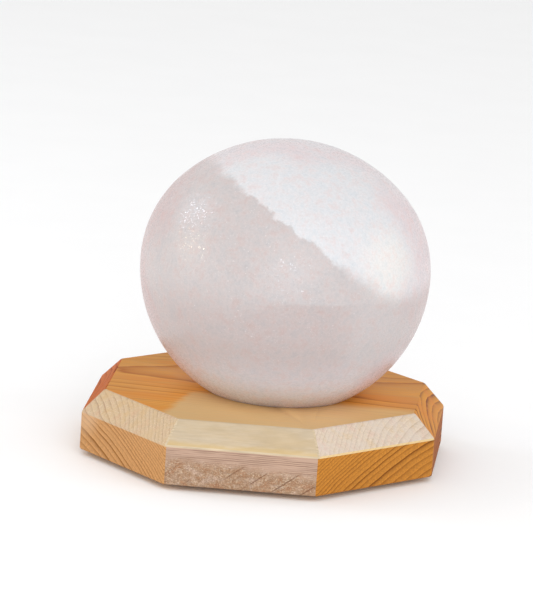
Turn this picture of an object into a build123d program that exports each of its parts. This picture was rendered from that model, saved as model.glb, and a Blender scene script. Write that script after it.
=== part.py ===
from build123d import *
import os
from math import cos, radians, sin, sqrt

# A salt lamp: a ground ball of white rock salt on an eight-sided pine board with a chamfered top edge.
# A small screw-cap bulb stands inside the ball, in a lamp holder that two spring arms grip in the bore,
# so that holder and bulb pull out through the board from below.
#
# Millimetres. +Z is up and -Y is the front. The origin is on the table, under the middle of the board.
# The ball, its bore and all that is in it stand on the lamp's axis, a little off the board's middle.

# Wooden board, sawn by hand, so each side has its own turn, reach and chamfer
BOARD_THICKNESS = 28.0
CHAMFER_DROP = 10.3
ARRIS = 0.5
SIDE_ANGLE = 45.0
# The sides in turn from +X: degrees off the true octagon, distance from the middle, chamfer width
BOARD_SIDES = {
    "right": (-1.5, 80.9, 9.8),
    "rear_right": (0.5, 80.8, 7.5),
    "rear": (0.0, 80.0, 9.0),
    "rear_left": (0.8, 79.1, 9.7),
    "left": (-0.2, 79.2, 9.5),
    "front_left": (-2.0, 81.8, 9.0),
    "front": (1.8, 80.1, 8.7),
    "front_right": (0.6, 78.0, 8.8),
}
GROOVE_WIDTH = 10.0
GROOVE_DEPTH = 8.0
GROOVE_ROUND = 3.0

# Rubber feet
FOOT_HEIGHT = 2.5
FOOT_RADIUS = 7.0
FOOT_TAPER = 1.0
FOOT_SPREAD = 40.0

# Salt ball: a lower half that is a half sphere, and a flatter crown whose outline is two arcs, a tighter
# one up the side and a wider one over the top. The ball leans a little and is ground flat below.
BALL_RADIUS = 66.0
BALL_CROWN = 58.4
CROWN_SIDE_ANGLE = 45.0
BALL_FOOT_RADIUS = 33.1
BALL_LEAN = 1.6
LAMP_AXIS_X = 4.8
LAMP_AXIS_Y = -4.2
BORE_ARM_ROOM = 6.25
BORE_END_CLEARANCE = 2.2
BORE_END_ROUND = 8.0

# Screws up through the board, in plugs in the salt
SCREW_COUNT = 3
SCREW_FIRST_ANGLE = 30.0
SCREW_LENGTH = 45.0
SCREW_RADIUS = 2.0
SCREW_HEAD_RADIUS = 4.0
SCREW_POINT = 4.0
SCREW_SINK = 5.0
SCREW_CLEARANCE = 0.2
SCREW_CROSS_LENGTH = 4.8
SCREW_CROSS_WIDTH = 0.9
SCREW_CROSS_DEPTH = 1.2
PLUG_RADIUS = 3.0
PLUG_PAST_SCREW = 3.0
PLUG_COLLAR = 8.0
PLUG_SLIT_WIDTH = 0.8
PLUG_HOLE_SPARE = 3.0

# Lamp holder, from the threaded shell outwards: core, cap and skirt, with nipple and nut below
HOLDER_RECESS = 9.0
HOLDER_FIT = 0.1
SHELL_WALL = 0.5
SHELL_HEIGHT = 18.0
TAB_WIDTH = 4.0
CORE_WALL = 2.0
CORE_FLOOR = 6.0
CORE_CUP_DEPTH = 12.0
CORE_FLANGE_WIDTH = 1.8
CORE_FLANGE_HEIGHT = 3.0
CAP_WALL = 2.25
CAP_LEDGE = 0.8
CAP_FLOOR = 7.0
CAP_NECK_RADIUS = 8.5
CAP_SHOULDER_HEIGHT = 3.5
CAP_THREAD_LENGTH = 7.0
CAP_GROOVE_COUNT = 16
CAP_GROOVE_SIDE = 1.2
SKIRT_GAP = 0.3
SKIRT_WALL = 1.4
SKIRT_LIP = 1.5
SKIRT_MOUTH_CLEARANCE = 1.1
SKIRT_EDGE_BREAK = 0.8
NIPPLE_RADIUS = 5.0
NIPPLE_WALL = 1.25
NIPPLE_SETBACK = 0.5
NIPPLE_TAIL = 1.5
NUT_ACROSS_FLATS = 14.0
NUT_HEIGHT = 3.0
TERMINAL_LENGTH = 5.0
TERMINAL_WIDTH = 6.0
TERMINAL_HEIGHT = 5.5
TERMINAL_OFFSET = 6.0
TERMINAL_GAP = 0.5
WIRE_HOLE_RADIUS = 1.2
TERMINAL_SCREW_RADIUS = 1.25
TERMINAL_HEAD_RADIUS = 2.1
TERMINAL_HEAD_HEIGHT = 1.2
TERMINAL_SLOT_WIDTH = 0.5
TERMINAL_SLOT_DEPTH = 0.5

# Contact tongue under the bulb: a leg through the core's floor, a foot on it and a raised end
TONGUE_WIDTH = 4.0
TONGUE_THICKNESS = 0.4
TONGUE_HEIGHT = 2.2
TONGUE_LEG_INSET = 0.8
TONGUE_STEP_START = -3.6
TONGUE_STEP_END = -1.8
TONGUE_END = 2.4
TONGUE_BEND = 0.6

# Spring clip: a strip between nut and cap with an arm at each end
CLIP_THICKNESS = 0.8
CLIP_WIDTH = 14.0
CLIP_INSET = 1.75
ARM_THICKNESS = 0.6
ARM_WIDTH = 10.0
ARM_GAP = 0.3
ARM_ROOT = 1.7
ARM_CREST_HEIGHT = 27.5
ARM_TIP_HEIGHT = 33.5
ARM_TIP_INSET = 1.2
ARM_ROOT_BEND = 1.2
ARM_CREST_BEND = 4.0

# Bulb, 22 mm wide, with a 14 mm screw cap; heights count from its contact
BULB_LENGTH = 57.0
BULB_RADIUS = 11.0
BULB_SHOULDER_HEIGHT = 34.0
BULB_NECK_START = 6.0
BULB_NECK_CLEARANCE = 0.25
BULB_RISE = 17.0
GLASS_WALL = 0.7
BULB_CAP_RADIUS = 6.95
BULB_CAP_WALL = 0.3
BULB_CAP_START = 3.7
BULB_CAP_END = 18.7
BULB_FLARE_WIDTH = 1.35
BULB_FLARE_HEIGHT = 4.0
INSULATOR_TIP_RADIUS = 3.4
CONTACT_RADIUS = 2.6
CONTACT_HEIGHT = 1.0
CONTACT_GAP = 0.3
BULB_SCREW_CLEARANCE = 0.05
RIM_BELOW_FLARE = 1.2
STEM_RADIUS = 2.4
STEM_SEAL_THICKNESS = 0.8
STEM_SEAL_HEIGHT = 3.5
STEM_TOP = 27.0
LEAD_RADIUS = 0.3
LEAD_OFFSET = 1.6
LEAD_SPREAD = 6.0
LEAD_TOP = 40.0
LEAD_STRAIGHT = 2.5
FILAMENT_RADIUS = 0.2
FILAMENT_TOP = 44.0
FILAMENT_SPREAD = 2.5
SUPPORT_RADIUS = 0.15
SUPPORT_OFFSET = 0.6
SUPPORT_GAP = 0.1

# Radii that follow from those above, from the bulb's cap outwards
shell_inner_radius = BULB_CAP_RADIUS + BULB_SCREW_CLEARANCE
shell_outer_radius = shell_inner_radius + SHELL_WALL
flare_radius = BULB_CAP_RADIUS + BULB_FLARE_WIDTH
bulb_neck_radius = BULB_CAP_RADIUS - BULB_CAP_WALL - BULB_NECK_CLEARANCE
core_cup_radius = shell_outer_radius + HOLDER_FIT
core_radius = core_cup_radius + CORE_WALL
core_flange_radius = core_radius + CORE_FLANGE_WIDTH
cap_socket_radius = core_flange_radius + HOLDER_FIT
cap_radius = cap_socket_radius + CAP_WALL
bore_radius = cap_radius + BORE_ARM_ROOM
screw_circle_radius = (bore_radius + BALL_FOOT_RADIUS) / 2

# Heights above the table that follow from them, from the bottom up
board_top = FOOT_HEIGHT + BOARD_THICKNESS
nipple_z = FOOT_HEIGHT + HOLDER_RECESS
nut_z = nipple_z + NIPPLE_TAIL
clip_z = nut_z + NUT_HEIGHT
cap_z = clip_z + CLIP_THICKNESS
cap_floor_z = cap_z + CAP_FLOOR
core_z = cap_floor_z + TERMINAL_GAP + TERMINAL_HEIGHT
core_floor_z = core_z + CORE_FLOOR
skirt_z = core_z + CORE_FLANGE_HEIGHT
cap_top = skirt_z + CAP_THREAD_LENGTH
bulb_z = core_floor_z + TONGUE_HEIGHT + CONTACT_GAP
flare_top = bulb_z + BULB_CAP_END + BULB_FLARE_HEIGHT
skirt_top = flare_top - RIM_BELOW_FLARE
bore_end_z = bulb_z + BULB_LENGTH + BULB_RISE + BORE_END_CLEARANCE
screw_head_z = FOOT_HEIGHT + SCREW_SINK
screw_end_z = screw_head_z + SCREW_LENGTH
plug_end_z = screw_end_z + PLUG_PAST_SCREW

lamp_axis = Pos(LAMP_AXIS_X, LAMP_AXIS_Y, 0)
screw_places = PolarLocations(screw_circle_radius, SCREW_COUNT, start_angle=SCREW_FIRST_ANGLE)
# Cylinders, cones and boxes stand on the point where they are placed
STANDING = (Align.CENTER, Align.CENTER, Align.MIN)


def turned(*corners):
    """A solid of revolution round the lamp's axis, from its outline's (radius, height) corners."""
    return revolve(Plane.XZ * make_face(Polyline(*corners, close=True)), Axis.Z)


def rod(radius, start_z, end_z):
    """A round bar on the lamp's axis between two heights."""
    return Pos(0, 0, start_z) * Cylinder(radius, end_z - start_z, align=STANDING)


def wire(radius, *points):
    """A round wire along (x, height) points in the XZ plane."""
    path = Plane.XZ * Polyline(*points)
    section = Plane(origin=path @ 0, z_dir=path % 0) * Circle(radius)
    return sweep(section, path, transition=Transition.RIGHT)


def strip(width, thickness, bends, *points):
    """A flat strip along (x, height) points in the XZ plane, as wide as given along Y."""
    path = Plane.XZ * FilletPolyline(*points, radius=bends)
    section = Plane(origin=path @ 0, x_dir=(0, 1, 0), z_dir=path % 0) * Rectangle(width, thickness)
    return sweep(section, path)


def board_corners(top):
    """Where each side meets the next, on the rim, or on the top face, which the chamfers narrow."""
    sides = []
    for number, (turn, reach, chamfer_width) in enumerate(BOARD_SIDES.values()):
        facing = radians(SIDE_ANGLE * number + turn)
        sides.append((facing, reach - chamfer_width if top else reach))
    corners = []
    for (a, reach_a), (b, reach_b) in zip(sides, sides[1:] + sides[:1]):
        x = (reach_a * sin(b) - reach_b * sin(a)) / sin(b - a)
        y = (reach_b * cos(a) - reach_a * cos(b)) / sin(b - a)
        corners.append((x, y))
    return corners


def board_blank():
    """The solid board: straight sides to the rim, chamfers from there to the top, its arrises broken."""
    rim = make_face(Polyline(*board_corners(top=False), close=True))
    top = make_face(Polyline(*board_corners(top=True), close=True))
    rim_height = BOARD_THICKNESS - CHAMFER_DROP
    chamfered = loft([Pos(0, 0, rim_height) * rim, Pos(0, 0, BOARD_THICKNESS) * top], ruled=True)
    blank = extrude(rim, rim_height) + chamfered
    blank = chamfer(blank.edges(), ARRIS)
    middle = blank.bounding_box().center()
    return Pos(-middle.X, -middle.Y, FOOT_HEIGHT) * blank


def cord_groove():
    """The milled groove in the underside, from the bore out through the rear side."""
    section = Rectangle(GROOVE_WIDTH, GROOVE_DEPTH, align=(Align.CENTER, Align.MIN))
    section = fillet(section.vertices().group_by(Axis.Y)[-1], GROOVE_ROUND)
    past_rear_side = BOARD_SIDES["rear"][1] - LAMP_AXIS_Y + GROOVE_WIDTH
    return Pos(0, 0, FOOT_HEIGHT) * extrude(Plane.XZ * section, -past_rear_side)


def screw_hole():
    """One screw's way through the board: a sunk hole, the head's conical seat and a clearance hole."""
    sink_radius = SCREW_HEAD_RADIUS + SCREW_CLEARANCE
    shank_radius = SCREW_RADIUS + SCREW_CLEARANCE
    return turned(
        (0, FOOT_HEIGHT),
        (sink_radius, FOOT_HEIGHT),
        (sink_radius, screw_head_z),
        (SCREW_HEAD_RADIUS, screw_head_z),
        (shank_radius, screw_head_z + SCREW_HEAD_RADIUS - shank_radius),
        (shank_radius, board_top),
        (0, board_top),
    )


def wooden_base():
    cuts = [rod(bore_radius, FOOT_HEIGHT, board_top), cord_groove()] + screw_places * screw_hole()
    return board_blank() - [lamp_axis * cut for cut in cuts]


def ball_blank():
    """The solid ball, leaning, with its flat foot on the board."""
    turn = radians(CROWN_SIDE_ANGLE)
    between_centres = (BALL_RADIUS - BALL_CROWN) / (sin(turn) + cos(turn) - 1)
    side_x = between_centres * cos(turn)
    top_z = -between_centres * sin(turn)
    outline = make_face(
        [
            CenterArc((0, 0), BALL_RADIUS, -90, 90),
            CenterArc((side_x, 0), BALL_RADIUS - side_x, 0, CROWN_SIDE_ANGLE),
            CenterArc((0, top_z), BALL_CROWN - top_z, CROWN_SIDE_ANGLE, 90 - CROWN_SIDE_ANGLE),
            Line((0, BALL_CROWN), (0, -BALL_RADIUS)),
        ]
    )
    ball = Rot(0, BALL_LEAN, 0) * revolve(Plane.XZ * outline, Axis.Z)
    foot_drop = sqrt(BALL_RADIUS**2 - BALL_FOOT_RADIUS**2)
    ball = split(ball, Plane.XY.offset(-foot_drop), keep=Keep.TOP)
    return Pos(0, 0, board_top + foot_drop) * ball


def salt_ball():
    bore = rod(bore_radius, board_top, bore_end_z)
    bore = fillet(bore.edges().filter_by(GeomType.CIRCLE).sort_by(Axis.Z)[-1], BORE_END_ROUND)
    plug_hole = rod(PLUG_RADIUS, board_top, plug_end_z + PLUG_HOLE_SPARE)
    return lamp_axis * (ball_blank() - bore - screw_places * plug_hole)


def foot():
    """A round rubber foot, a little narrower at the table."""
    return Cone(FOOT_RADIUS - FOOT_TAPER, FOOT_RADIUS, FOOT_HEIGHT, align=STANDING)


def base_screws():
    """Three countersunk screws, head down, each with a cross in its head."""
    screw = turned(
        (0, screw_head_z),
        (SCREW_HEAD_RADIUS, screw_head_z),
        (SCREW_RADIUS, screw_head_z + SCREW_HEAD_RADIUS - SCREW_RADIUS),
        (SCREW_RADIUS, screw_end_z - SCREW_POINT),
        (0, screw_end_z),
    )
    slot = Box(SCREW_CROSS_LENGTH, SCREW_CROSS_WIDTH, SCREW_CROSS_DEPTH, align=STANDING)
    slot = Pos(0, 0, screw_head_z) * slot
    screw = screw - [slot, Rot(0, 0, 90) * slot]
    return lamp_axis * (Part() + screw_places * screw)


def screw_plugs():
    """The plugs in the salt, each slit from its far end, through one wall, so that the screw spreads it."""
    plug = rod(PLUG_RADIUS, board_top, plug_end_z) - rod(SCREW_RADIUS, board_top, plug_end_z)
    slit_length = plug_end_z - board_top - PLUG_COLLAR
    slit = Box(PLUG_RADIUS, PLUG_SLIT_WIDTH, slit_length, align=(Align.MIN, Align.CENTER, Align.MAX))
    return lamp_axis * (Part() + screw_places * (plug - Pos(0, 0, plug_end_z) * slit))


def holder_cap():
    """The holder's lower half: neck, sloping shoulder, and a socket for core and skirt."""
    cavity_radius = core_flange_radius - CAP_LEDGE
    cap = turned(
        (NIPPLE_RADIUS, cap_z),
        (CAP_NECK_RADIUS, cap_z),
        (CAP_NECK_RADIUS, cap_floor_z - CAP_SHOULDER_HEIGHT),
        (cap_radius, cap_floor_z),
        (cap_radius, cap_top),
        (cap_socket_radius, cap_top),
        (cap_socket_radius, core_z),
        (cavity_radius, core_z),
        (cavity_radius, cap_floor_z),
        (NIPPLE_RADIUS, cap_floor_z),
    )
    groove = Rot(0, 0, 45) * Box(CAP_GROOVE_SIDE, CAP_GROOVE_SIDE, cap_top - cap_floor_z, align=STANDING)
    grooves = PolarLocations(cap_radius, CAP_GROOVE_COUNT) * (Pos(0, 0, cap_floor_z) * groove)
    return lamp_axis * (cap - grooves)


def holder_skirt():
    """The holder's upper half: it screws into the cap, holds the core down and rings the bulb's cap."""
    collar_z = cap_top + SKIRT_GAP
    neck_inner_radius = core_radius + SKIRT_GAP
    wall_inner_radius = cap_radius - SKIRT_WALL
    mouth_radius = flare_radius + SKIRT_MOUTH_CLEARANCE
    skirt = turned(
        (neck_inner_radius, skirt_z),
        (core_flange_radius, skirt_z),
        (core_flange_radius, collar_z),
        (cap_radius, collar_z),
        (cap_radius, skirt_top),
        (mouth_radius, skirt_top),
        (mouth_radius, skirt_top - SKIRT_LIP),
        (wall_inner_radius, skirt_top - SKIRT_LIP),
        (wall_inner_radius, collar_z + SKIRT_WALL),
        (neck_inner_radius, collar_z + SKIRT_WALL),
    )
    rim = skirt.edges().filter_by(GeomType.CIRCLE).group_by(Axis.Z)[-1].sort_by(SortBy.RADIUS)[-1]
    return lamp_axis * chamfer(rim, SKIRT_EDGE_BREAK)


def holder_core():
    """The insulating cup that carries the threaded shell, with slots for the two contacts' legs."""
    cup_top = core_floor_z + CORE_CUP_DEPTH
    core = turned(
        (0, core_z),
        (core_flange_radius, core_z),
        (core_flange_radius, skirt_z),
        (core_radius, skirt_z),
        (core_radius, cup_top),
        (core_cup_radius, cup_top),
        (core_cup_radius, core_floor_z),
        (0, core_floor_z),
    )
    tongue_slot_x = TONGUE_LEG_INSET - shell_inner_radius - TONGUE_THICKNESS / 2
    slots = []
    for start_x, length, width in (
        (shell_inner_radius, SHELL_WALL, TAB_WIDTH),
        (tongue_slot_x, TONGUE_THICKNESS + TONGUE_BEND, TONGUE_WIDTH),
    ):
        slot = Box(
            length + 2 * HOLDER_FIT,
            width + 2 * HOLDER_FIT,
            CORE_FLOOR,
            align=(Align.MIN, Align.CENTER, Align.MIN),
        )
        slots.append(Pos(start_x - HOLDER_FIT, 0, core_z) * slot)
    return lamp_axis * (core - slots)


def holder_shell():
    """The threaded metal shell, here as its plain sleeve, with one tab down to its terminal."""
    top = core_floor_z + SHELL_HEIGHT
    sleeve = rod(shell_outer_radius, core_floor_z, top) - rod(shell_inner_radius, core_floor_z, top)
    tab = Box(SHELL_WALL, TAB_WIDTH, CORE_FLOOR, align=(Align.MIN, Align.CENTER, Align.MIN))
    return lamp_axis * (sleeve + Pos(shell_inner_radius, 0, core_z) * tab)


def centre_contact():
    """The sprung tongue that the bulb's tip presses on."""
    leg_x = TONGUE_LEG_INSET - shell_inner_radius
    foot_z = core_floor_z + TONGUE_THICKNESS / 2
    end_z = core_floor_z + TONGUE_HEIGHT - TONGUE_THICKNESS / 2
    return lamp_axis * strip(
        TONGUE_WIDTH,
        TONGUE_THICKNESS,
        TONGUE_BEND,
        (leg_x, core_z),
        (leg_x, foot_z),
        (TONGUE_STEP_START, foot_z),
        (TONGUE_STEP_END, end_z),
        (TONGUE_END, end_z),
    )


def terminal_pair(piece):
    """A piece drawn for the right-hand terminal, and its twin on the left."""
    return lamp_axis * (Part() + [piece, Rot(0, 0, 180) * piece])


def terminal_blocks():
    """The two brass terminals under the core, each bored for its wire and its clamping screw."""
    place = Pos(TERMINAL_OFFSET, 0, core_z - TERMINAL_HEIGHT / 2)
    block = Box(TERMINAL_LENGTH, TERMINAL_WIDTH, TERMINAL_HEIGHT)
    wire_hole = Cylinder(WIRE_HOLE_RADIUS, TERMINAL_HEIGHT)
    screw_way = Rot(0, 90, 0) * rod(TERMINAL_SCREW_RADIUS, 0, TERMINAL_LENGTH / 2)
    return terminal_pair(place * (block - [wire_hole, screw_way]))


def terminal_screws():
    """The slotted screws that clamp the wires in the terminals."""
    seat = TERMINAL_LENGTH / 2
    head_top = seat + TERMINAL_HEAD_HEIGHT
    slot = Pos(0, 0, head_top) * Box(
        2 * TERMINAL_HEAD_RADIUS,
        TERMINAL_SLOT_WIDTH,
        TERMINAL_SLOT_DEPTH,
        align=(Align.CENTER, Align.CENTER, Align.MAX),
    )
    shank = rod(TERMINAL_SCREW_RADIUS, WIRE_HOLE_RADIUS, seat)
    screw = shank + rod(TERMINAL_HEAD_RADIUS, seat, head_top) - slot
    place = Pos(TERMINAL_OFFSET, 0, core_z - TERMINAL_HEIGHT / 2) * Rot(0, 90, 0)
    return terminal_pair(place * screw)


def threaded_nipple():
    """The tube that the mains lead would come in through; cap and nut sit on it."""
    end_z = cap_floor_z - NIPPLE_SETBACK
    bore = rod(NIPPLE_RADIUS - NIPPLE_WALL, nipple_z, end_z)
    return lamp_axis * (rod(NIPPLE_RADIUS, nipple_z, end_z) - bore)


def lock_nut():
    blank = extrude(RegularPolygon(NUT_ACROSS_FLATS / 2, 6, major_radius=False), NUT_HEIGHT)
    return lamp_axis * (Pos(0, 0, nut_z) * blank - rod(NIPPLE_RADIUS, nut_z, clip_z))


def clip_plate():
    """The middle of the spring clip, flat between nut and cap."""
    outline = Rectangle(2 * (cap_radius - CLIP_INSET), CLIP_WIDTH) - Circle(NIPPLE_RADIUS)
    return lamp_axis * Pos(0, 0, clip_z) * extrude(outline, CLIP_THICKNESS)


def clip_arm():
    """One spring arm, drawn on the right: out from the plate, up to the bore's wall, and in at the tip."""
    crest_face = sqrt((bore_radius - ARM_GAP) ** 2 - (ARM_WIDTH / 2) ** 2)
    crest_x = crest_face - ARM_THICKNESS / 2
    root_x = cap_radius - CLIP_INSET + ARM_GAP
    root_z = clip_z + CLIP_THICKNESS / 2
    return strip(
        ARM_WIDTH,
        ARM_THICKNESS,
        [ARM_ROOT_BEND, ARM_CREST_BEND],
        (root_x, root_z),
        (root_x + ARM_ROOT, root_z),
        (crest_x, root_z + ARM_CREST_HEIGHT),
        (crest_x - ARM_TIP_INSET, root_z + ARM_TIP_HEIGHT),
    )


def bulb_cap():
    """The bulb's screw cap, here as a plain sleeve, flared where it takes the glass."""
    start_z = bulb_z + BULB_CAP_START
    end_z = bulb_z + BULB_CAP_END
    return lamp_axis * turned(
        (BULB_CAP_RADIUS, start_z),
        (BULB_CAP_RADIUS, end_z),
        (flare_radius, flare_top),
        (flare_radius - BULB_CAP_WALL, flare_top),
        (BULB_CAP_RADIUS - BULB_CAP_WALL, end_z),
        (BULB_CAP_RADIUS - BULB_CAP_WALL, start_z),
    )


def bulb_insulator():
    """The black glass cone that closes the cap's end."""
    return lamp_axis * turned(
        (0, bulb_z + CONTACT_HEIGHT),
        (INSULATOR_TIP_RADIUS, bulb_z + CONTACT_HEIGHT),
        (BULB_CAP_RADIUS, bulb_z + BULB_CAP_START),
        (0, bulb_z + BULB_CAP_START),
    )


def bulb_contact():
    """The solder dome at the bulb's tip."""
    dome_radius = (CONTACT_RADIUS**2 + CONTACT_HEIGHT**2) / (2 * CONTACT_HEIGHT)
    dome = Pos(0, 0, bulb_z + dome_radius) * Sphere(dome_radius)
    return lamp_axis * split(dome, Plane.XY.offset(bulb_z + CONTACT_HEIGHT), keep=Keep.BOTTOM)


def glass_outline(inset):
    """Half of the envelope's section: neck, sloping shoulder, side and dome, drawn in by an inset."""
    neck = bulb_neck_radius - inset
    side = BULB_RADIUS - inset
    dome_z = BULB_LENGTH - BULB_RADIUS
    neck_top = (neck, BULB_CAP_END)
    shoulder = (side, BULB_SHOULDER_HEIGHT)
    return make_face(
        [
            Line((0, BULB_NECK_START), (neck, BULB_NECK_START)),
            Line((neck, BULB_NECK_START), neck_top),
            Line(neck_top, shoulder),
            Line(shoulder, (side, dome_z)),
            CenterArc((0, dome_z), side, 0, 90),
            Line((0, BULB_LENGTH - inset), (0, BULB_NECK_START)),
        ]
    )


def bulb_glass():
    section = glass_outline(0) - glass_outline(GLASS_WALL)
    return lamp_axis * Pos(0, 0, bulb_z) * revolve(Plane.XZ * section, Axis.Z)


def bulb_stem():
    """The glass stem that seals the neck and carries the wires."""
    seal_radius = bulb_neck_radius - GLASS_WALL
    seal_z = bulb_z + BULB_NECK_START
    return lamp_axis * turned(
        (0, seal_z),
        (seal_radius, seal_z),
        (seal_radius, seal_z + STEM_SEAL_THICKNESS),
        (STEM_RADIUS, seal_z + STEM_SEAL_HEIGHT),
        (STEM_RADIUS, bulb_z + STEM_TOP),
        (0, bulb_z + STEM_TOP),
    )


def mirrored_pair(piece):
    """A wire drawn on the right of the bulb, and its mirror image."""
    return lamp_axis * Pos(0, 0, bulb_z) * (Part() + [piece, mirror(piece, Plane.YZ)])


def bulb_leads():
    """The two wires from the stem to the filament's ends."""
    return mirrored_pair(
        wire(
            LEAD_RADIUS,
            (LEAD_OFFSET, STEM_TOP),
            (LEAD_OFFSET, STEM_TOP + LEAD_STRAIGHT),
            (LEAD_SPREAD, LEAD_TOP - LEAD_STRAIGHT),
            (LEAD_SPREAD, LEAD_TOP),
        )
    )


def bulb_supports():
    """The two finer wires that hold up the filament's middle."""
    top = FILAMENT_TOP - FILAMENT_RADIUS - SUPPORT_GAP
    return mirrored_pair(
        wire(
            SUPPORT_RADIUS,
            (SUPPORT_OFFSET, STEM_TOP),
            (SUPPORT_OFFSET, STEM_TOP + LEAD_STRAIGHT),
            (FILAMENT_SPREAD, top - LEAD_STRAIGHT),
            (FILAMENT_SPREAD, top),
        )
    )


def bulb_filament():
    """The filament, from one lead over the supports to the other."""
    end_top = LEAD_TOP + FILAMENT_SPREAD / 2
    return (
        lamp_axis
        * Pos(0, 0, bulb_z)
        * wire(
            FILAMENT_RADIUS,
            (LEAD_SPREAD, LEAD_TOP),
            (LEAD_SPREAD, end_top),
            (FILAMENT_SPREAD, FILAMENT_TOP),
            (-FILAMENT_SPREAD, FILAMENT_TOP),
            (-LEAD_SPREAD, end_top),
            (-LEAD_SPREAD, LEAD_TOP),
        )
    )


parts = {
    "wooden_base": wooden_base(),
    "salt_ball": salt_ball(),
    "base_screws": base_screws(),
    "screw_plugs": screw_plugs(),
    "holder_cap": holder_cap(),
    "holder_skirt": holder_skirt(),
    "holder_core": holder_core(),
    "holder_shell": holder_shell(),
    "centre_contact": centre_contact(),
    "terminal_blocks": terminal_blocks(),
    "terminal_screws": terminal_screws(),
    "threaded_nipple": threaded_nipple(),
    "lock_nut": lock_nut(),
    "clip_plate": clip_plate(),
    "clip_arm_right": lamp_axis * clip_arm(),
    "clip_arm_left": lamp_axis * mirror(clip_arm(), Plane.YZ),
    "bulb_cap": bulb_cap(),
    "bulb_insulator": bulb_insulator(),
    "bulb_contact": bulb_contact(),
    "bulb_glass": bulb_glass(),
    "bulb_stem": bulb_stem(),
    "bulb_leads": bulb_leads(),
    "bulb_supports": bulb_supports(),
    "bulb_filament": bulb_filament(),
}
for depth_name, y in (("front", -FOOT_SPREAD), ("rear", FOOT_SPREAD)):
    for side_name, x in (("left", -FOOT_SPREAD), ("right", FOOT_SPREAD)):
        parts[f"foot_{depth_name}_{side_name}"] = Pos(x, y, 0) * foot()

os.makedirs("parts", exist_ok=True)
for name, part in parts.items():
    export_step(part, f"parts/{name}.step")
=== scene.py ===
from math import asin, atan2, cos, degrees, hypot, pi, radians, sin, sqrt

import bmesh
import bpy
from mathutils import Matrix, Vector, noise


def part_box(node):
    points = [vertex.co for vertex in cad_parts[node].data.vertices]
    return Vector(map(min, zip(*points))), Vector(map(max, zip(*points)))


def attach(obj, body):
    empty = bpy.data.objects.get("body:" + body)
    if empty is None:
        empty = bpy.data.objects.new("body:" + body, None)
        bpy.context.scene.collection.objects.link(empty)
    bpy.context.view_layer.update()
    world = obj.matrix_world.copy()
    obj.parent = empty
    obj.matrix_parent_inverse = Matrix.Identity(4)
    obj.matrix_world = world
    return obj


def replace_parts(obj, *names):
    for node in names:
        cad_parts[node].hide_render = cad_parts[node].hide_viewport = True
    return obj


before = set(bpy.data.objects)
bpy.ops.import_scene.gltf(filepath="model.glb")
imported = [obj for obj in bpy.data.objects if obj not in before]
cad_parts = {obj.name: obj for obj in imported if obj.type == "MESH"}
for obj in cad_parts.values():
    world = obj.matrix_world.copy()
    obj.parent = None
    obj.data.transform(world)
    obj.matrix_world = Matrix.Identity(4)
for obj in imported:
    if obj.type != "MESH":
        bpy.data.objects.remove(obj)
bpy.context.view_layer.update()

# A salt lamp: a ground ball of white rock salt on an eight-sided pine board. Metres, +Z up, -Y the front.
# The ball, the board and most pieces inside are modelled here, in place of their solids. Lengths inside
# materials are in millimetres, because their coordinates are scaled up to them.

MM = 0.001

# Points closer than this are welded, and a corner sharper than this stays crisp
WELD = 0.002 * MM
CRISP_ANGLE = radians(38)

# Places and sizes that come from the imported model
board_low, board_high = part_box("wooden_base")
holder_low, holder_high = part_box("holder_cap")
lamp_axis = Vector(((holder_low.x + holder_high.x) / 2, (holder_low.y + holder_high.y) / 2, 0))
board_top = board_high.z

# Salt ball, as in the solid: a half sphere below, two arcs above, and a small lean
BALL_RADIUS = 66.0 * MM
BALL_CROWN = 58.4 * MM
CROWN_SIDE_ANGLE = radians(45)
BALL_FOOT_RADIUS = 33.1 * MM
BALL_LEAN = radians(1.6)
BORE_RADIUS = 20.0 * MM
BORE_END = 114.5 * MM
BORE_END_ROUND = 8.0 * MM
BORE_END_STEPS = 8
FOOT_EDGE = 0.8 * MM
BALL_AROUND = 360
BALL_ROWS = 220
foot_drop = sqrt(BALL_RADIUS**2 - BALL_FOOT_RADIUS**2)
ball_centre = Vector((lamp_axis.x, lamp_axis.y, board_top + foot_drop))

# The ball's skin is worn by at most twice these depths, each with how often it changes over the ball
WEAR = ((0.05 * MM, 40), (0.04 * MM, 12))

# Screws and their plugs, in millimetres, round the lamp's axis
SCREW_COUNT = 3
SCREW_FIRST_ANGLE = 30.0
SCREW_CIRCLE = 26.55
PLUG_RADIUS = 3.0
PLUG_HOLE_END = 58.5
PLUG_HOLE_SIDES = 48


def linear(colour):
    """A colour in linear light, with an alpha of 1, from one as it looks on screen, from 0 to 255."""
    shares = [value / 255 for value in colour]
    return *(s / 12.92 if s <= 0.04045 else ((s + 0.055) / 1.055) ** 2.4 for s in shares), 1


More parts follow.
